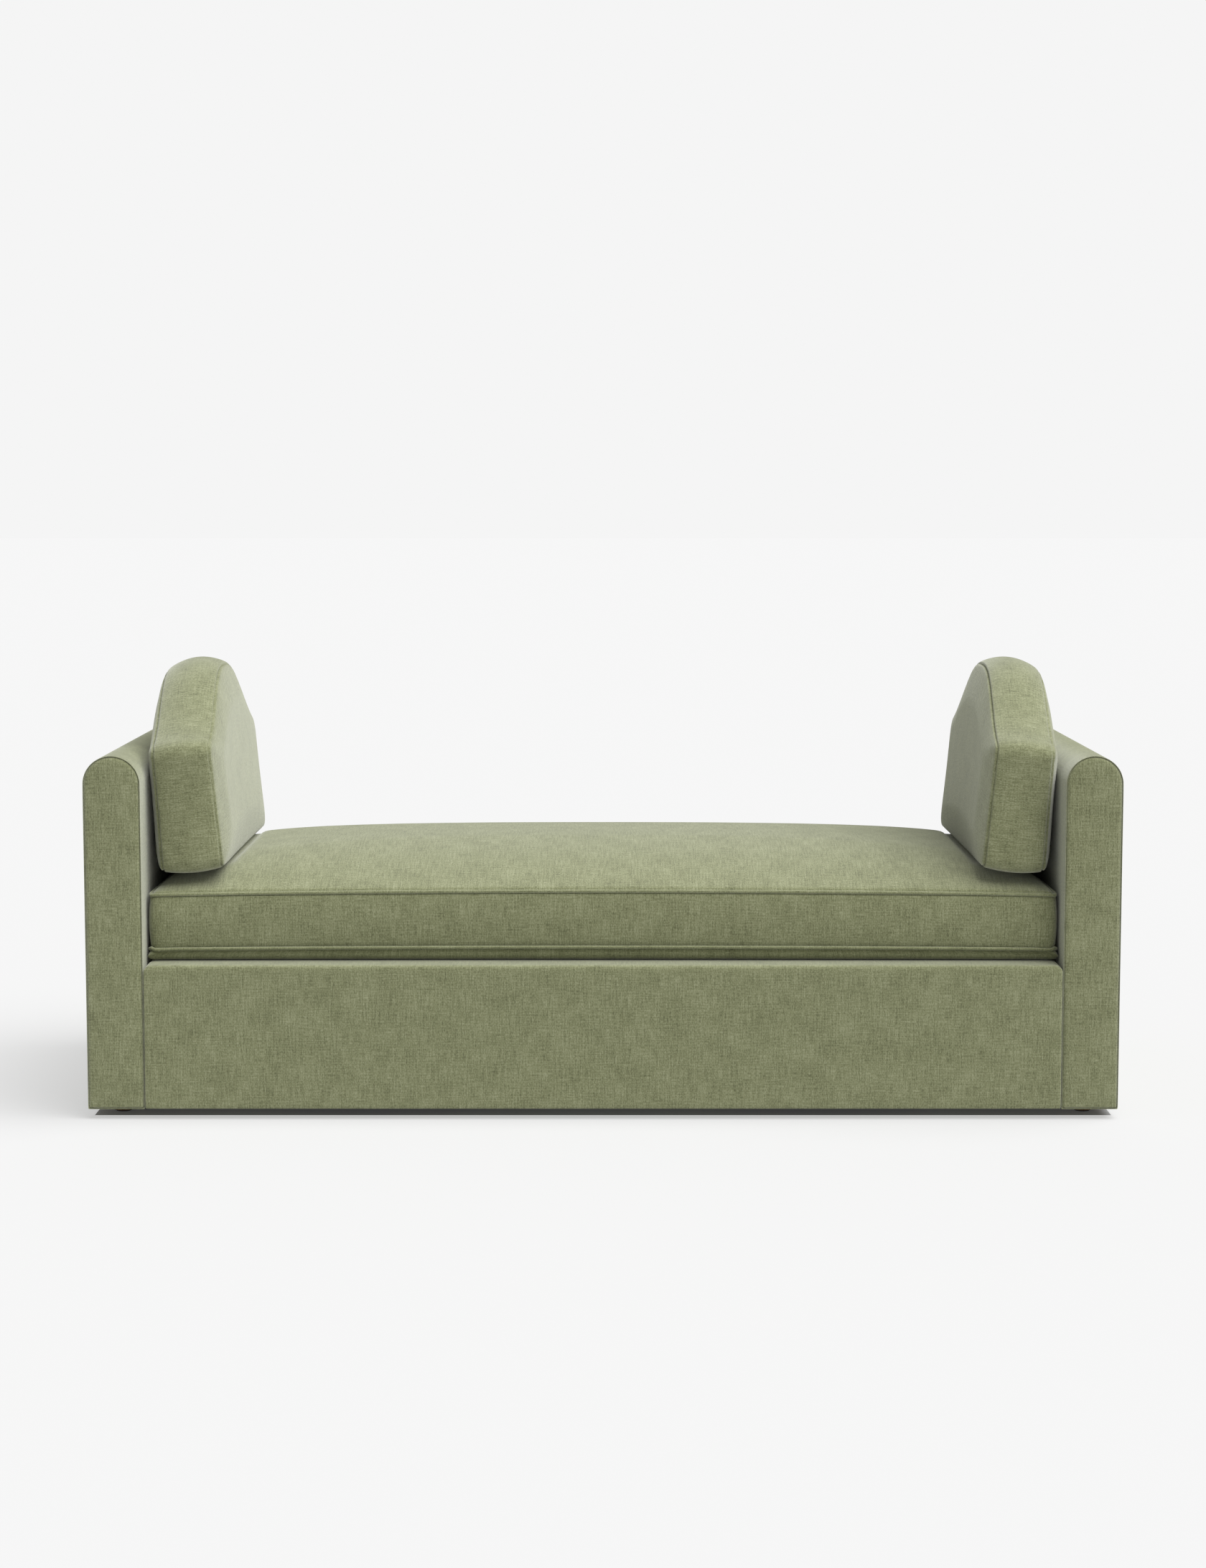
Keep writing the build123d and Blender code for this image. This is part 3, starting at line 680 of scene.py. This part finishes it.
def makeSeat():
    weltLow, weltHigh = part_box("seat_cushion_top_welt")
    topZ = (weltLow.z + weltHigh.z) / 2
    bottomZ = (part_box("seat_cushion_bottom_welt")[0].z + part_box("seat_cushion_bottom_welt")[1].z) / 2
    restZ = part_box("seat_cushion_cover")[0].z
    halfX = weltHigh.x - seat["weltRadius"]
    halfY = weltHigh.y - seat["weltRadius"]
    thickness = topZ - bottomZ
    middleZ = (topZ + bottomZ) / 2
    piece = makeBoxed("seat_cushion_upholstery", round(2 * halfX / seat["cell"]),
                      round(2 * halfY / seat["cell"]), seat["boxRows"], 2 * halfX, 2 * halfY, thickness)
    seams = seamPoints(piece)
    for vertex in piece.data.vertices:
        x, y, z = vertex.co
        u = x / halfX
        v = y / halfY
        rim = max(abs(u), abs(v)) > shared["rim"]
        share = z / thickness + 0.5              # 0 at the bottom seam, 1 at the top seam
        x, y = roundCorner(x, y, halfX, halfY, seat["cornerRadius"])
        x -= seat["pullIn"] * u * (1 - v * v)
        y -= seat["pullIn"] * v * (1 - u * u)
        z += middleZ + seat["weltLift"] * (1 - u * u) * share - seat["endDrop"] * u * u * (1 - share)
        if rim and vertex.index not in seams:
            bulge = seat["boxBulge"] * math.sin(math.pi * share)
            x += bulge * u ** shared["sideSwell"]
            y += bulge * v ** shared["sideSwell"]
        elif not rim and share > 0.5:
            z += seat["crown"] * seat["slack"] * crownHeight(u, v)
        elif not rim:
            insideX, downX = rollUnder(halfX * (1 - abs(u)))
            insideY, downY = rollUnder(halfY * (1 - abs(v)))
            x += math.copysign(halfX * (1 - abs(u)) - insideX, u) * abs(u) ** seat["rollFade"]
            y += math.copysign(halfY * (1 - abs(v)) - insideY, v) * abs(v) ** seat["rollFade"]
            z -= min(downX, downY) * (1 - seat["endLift"] * abs(u) ** seat["endLiftFade"])
            z -= seat["bottomCrown"] * (1 - u ** seat["bottomFlatness"]) * (1 - v ** seat["bottomFlatness"])
        vertex.co = (x, y, z)
    puff(piece, seat["cap"])
    bolsterLow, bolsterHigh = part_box("right_bolster_cover")
    zipLow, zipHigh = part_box("seat_zip_tape")
    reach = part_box("right_arm_cover")[0].x - seat["armGap"]
    zipAlong, zipUp = seat["zipEdge"]
    for vertex in piece.data.vertices:
        vertex.co.x = max(-reach, min(reach, vertex.co.x))
        outside = max(0, bolsterLow.x - abs(vertex.co.x)) + max(0, abs(vertex.co.y) - bolsterHigh.y)
        top = bolsterLow.z + seat["bolsterDent"] + outside * seat["dentSlope"]
        vertex.co.z = min(top, max(restZ + seat["deckGap"], vertex.co.z))
        level = zipLow.z - zipUp < vertex.co.z < zipHigh.z + zipUp
        near = level and abs(vertex.co.x) < zipHigh.x + zipAlong
        if near and vertex.co.y > zipLow.y - seat["zipGap"]:
            vertex.co.y = zipLow.y - seat["zipGap"]
    subdivide(piece, seat["smoothing"])
    radius = seat["weltRadius"]
    for name, test in (("top", lambda p: p.z > middleZ), ("bottom", lambda p: p.z < middleZ)):
        piping = addPiping(piece, "seat_cushion_" + name + "_piping", test, radius, seat["weltOut"])
        dress(piping, upholstery, "seat_cushion", "upholstery", "seat_cushion_" + name + "_welt")
    # the cover's own edge is drawn in behind the piping
    for i in seamPoints(piece):
        vertex = piece.data.vertices[i]
        u = (vertex.co.x / halfX) ** shared["sideSwell"]
        v = (vertex.co.y / halfY) ** shared["sideSwell"]
        vertex.co -= Vector((u, v, 0)).normalized() * seat["weltTuck"]
    dress(piece, upholstery, "seat_cushion", "upholstery", "seat_cushion_cover", "seat_cushion_core")


makeSeat()
print("seat cushion made")


# bolsters

bolster = {
    "columns": 60,
    "rows": 36,
    "boxRows": 10,
    "cornerRadius": 0.022,
    "lean": 4.9,              # degrees, outwards
    "taper": 0.055,           # how much thinner it is at the shoulders
    "shoulder": 0.226,        # height of the straight ends
    "dome": 0.150,
    "domeWidth": 0.248,
    "domePower": 2.6,         # higher gives steeper shoulders
    "seamSpan": 0.118,        # from seam to seam at the base
    "innerSeam": 0.0050,      # from the inner side of the space it fills
    "innerCrown": 0.009,
    "outerCrown": 0.014,
    "faceFullness": (8, 0.4),  # powers of both crowns: the first higher or the second lower is fuller
    "outerLimit": 0.0743,     # the outer face stays this near the middle, clear of the arm
    "boxCrown": 0.006,
    "domeCrown": 0.012,       # more of a crown over the dome
    "pullIn": 0.0035,
    "cap": 0.006,
    "zipGap": 0.0004,
    "zipEdge": 0.004,         # round the tape that is drawn in too
    "smoothing": 1,
    "seamWidth": 0.0024,
    "seamDepth": 0.0048,
}


def domeHeight(y):
    return bolster["shoulder"] + bolster["dome"] * math.exp(
        -(abs(y) / bolster["domeWidth"]) ** bolster["domePower"])


def makeBolster(side):
    low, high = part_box(side + "_bolster_cover")
    halfY = high.y - bolster["boxCrown"]
    halfT = bolster["seamSpan"] / 2
    shoulder = domeHeight(halfY)
    body = side + "_bolster"
    outwards = -1 if side == "left" else 1
    power, rise = bolster["faceFullness"]
    piece = makeBoxed(body + "_upholstery", bolster["columns"], bolster["rows"], bolster["boxRows"],
                      2 * halfY, shoulder, bolster["seamSpan"])
    seams = seamPoints(piece)
    for vertex in piece.data.vertices:
        y, h, t = vertex.co
        u = y / halfY
        v = h / (shoulder / 2)
        rim = max(abs(u), abs(v)) > shared["rim"]
        y, h = roundCorner(y, h, halfY, shoulder / 2, bolster["cornerRadius"])
        share = h / shoulder + 0.5               # 0 at the base, 1 along the top
        h = domeHeight(y) * share
        if rim and vertex.index not in seams:
            crown = bolster["boxCrown"] + bolster["domeCrown"] * (domeHeight(y) - shoulder) / bolster["dome"]
            bulge = crown * (1 - (t / halfT) ** 2)
            y += bulge * u ** shared["sideSwell"]
            h += bulge * v ** shared["sideSwell"]
        elif not rim:
            crown = bolster["outerCrown"] if t * outwards > 0 else bolster["innerCrown"]
            t += math.copysign(crown * ((1 - u ** power) * (1 - v ** power)) ** rise, t)
        t *= 1 - bolster["taper"] * share
        y -= bolster["pullIn"] * u * (1 - v * v)
        vertex.co = (t, y, h)
    puff(piece, bolster["cap"])
    for vertex in piece.data.vertices:
        vertex.co.x = outwards * min(vertex.co.x * outwards, bolster["outerLimit"])
    startEdit(piece)
    bpy.ops.mesh.select_all(action="SELECT")
    bpy.ops.mesh.normals_make_consistent(inside=False)
    stopEdit()
    subdivide(piece, bolster["smoothing"])
    sewSeams(piece, bolster["seamWidth"], bolster["seamDepth"])
    inner = high.x if side == "left" else low.x
    base = Vector((inner + outwards * (bolster["innerSeam"] + halfT), 0, low.z + bolster["boxCrown"]))
    lean = Matrix.Rotation(math.radians(bolster["lean"]) * outwards, 4, "Y")
    piece.data.transform(Matrix.Translation(base) @ lean)
    zipLow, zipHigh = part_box(body + "_zip_tape")
    zipSide = min(abs(zipLow.x), abs(zipHigh.x)) - bolster["zipGap"]
    edge = bolster["zipEdge"]
    for vertex in piece.data.vertices:
        level = zipLow.z - edge < vertex.co.z < zipHigh.z + edge
        near = level and abs(vertex.co.y) < zipHigh.y + edge
        if near and vertex.co.x * outwards > zipSide:
            vertex.co.x = zipSide * outwards
    dress(piece, upholstery, body, "upholstery", body + "_cover", body + "_core")


for side in sides:
    makeBolster(side)
print("bolsters made")


# studio

viewFrom = {
    "distance": 5.487,    # lens to the front of the daybed
    "height": 1.215,
    "lens": 66.67,
    "longSide": 36,       # of the sensor, upright
    "tilt": 5.889,        # degrees down
}

light = {
    "key": 4.2,
    "keyFrom": (0.46, -0.22, 1.0),
    "keySpread": 60,      # degrees
    "around": 0.42,
    "backdrop": 0.913,
    "floorSize": 120,
    "floor": 0.28,        # what the floor sends back
    "floorGlow": 0.475,   # and what it gives of itself, which keeps its shadow light
    # the sheet under the daybed is painted shade: it glows less than the floor round it
    "shadeHeight": 0.0003,
    "shadeInset": (0.006, 0.040),  # at the ends, and at the front and back
    "shadeGlow": 0.035,   # the floor under the daybed gives less
    "shadeGloss": 0.5,
}


def addCamera():
    data = bpy.data.cameras.new("camera")
    data.lens = viewFrom["lens"]
    data.sensor_fit = "VERTICAL"
    data.sensor_height = viewFrom["longSide"]
    camera = bpy.data.objects.new("camera", data)
    bpy.context.scene.collection.objects.link(camera)
    camera.location = (0, sizeAtLoad[0][1] - viewFrom["distance"], viewFrom["height"])
    camera.rotation_euler = (math.radians(90 - viewFrom["tilt"]), 0, 0)
    bpy.context.scene.camera = camera


def makeFloorFinish(name, glow, gloss):
    material, tree, shader = newMaterial(name)
    shader.inputs["Base Color"].default_value = (light["floor"], light["floor"], light["floor"], 1)
    shader.inputs["Roughness"].default_value = 1.0
    shader.inputs["Specular IOR Level"].default_value = gloss
    shader.inputs["Emission Color"].default_value = (1, 1, 1, 1)
    shader.inputs["Emission Strength"].default_value = glow
    return material


def addFloor():
    clearSelection()
    bpy.ops.mesh.primitive_plane_add(size=light["floorSize"])
    floor = bpy.context.object
    floor.name = "floor"
    floor.data.materials.append(makeFloorFinish("paleFloor", light["floorGlow"], 0.0))

    # a dimmer sheet on the floor under the daybed: painted shade, it glows less than the floor round it
    low, high = sizeAtLoad
    insetX, insetY = light["shadeInset"]
    clearSelection()
    bpy.ops.mesh.primitive_plane_add(size=1, location=(0, 0, light["shadeHeight"]))
    shadow = fitPrimitive("painted_shade_sheet", (high.x - low.x - insetX * 2, high.y - low.y - insetY * 2, 1))
    shadow.data.materials.append(makeFloorFinish("shadedFloor", light["shadeGlow"], light["shadeGloss"]))


def addLight():
    world = bpy.data.worlds.new("studio")
    bpy.context.scene.world = world
    world.use_nodes = True
    tree = world.node_tree
    around = tree.nodes["Background"]
    around.inputs["Color"].default_value = (1, 1, 1, 1)
    around.inputs["Strength"].default_value = light["around"]
    behind = addNode(tree, "ShaderNodeBackground", {"Color": (1, 1, 1, 1), "Strength": light["backdrop"]})
    seen = addNode(tree, "ShaderNodeLightPath")
    mix = addNode(tree, "ShaderNodeMixShader", {
        0: seen.outputs["Is Camera Ray"], 1: around.outputs[0], 2: behind.outputs[0]})
    tree.links.new(mix.outputs[0], tree.nodes["World Output"].inputs["Surface"])

    data = bpy.data.lights.new("key", "SUN")
    data.energy = light["key"]
    data.angle = math.radians(light["keySpread"])
    key = bpy.data.objects.new("key", data)
    bpy.context.scene.collection.objects.link(key)
    key.rotation_euler = Vector(light["keyFrom"]).to_track_quat("Z", "Y").to_euler()


addCamera()
addFloor()
addLight()
bpy.context.scene.view_settings.view_transform = "Standard"
print("studio made")
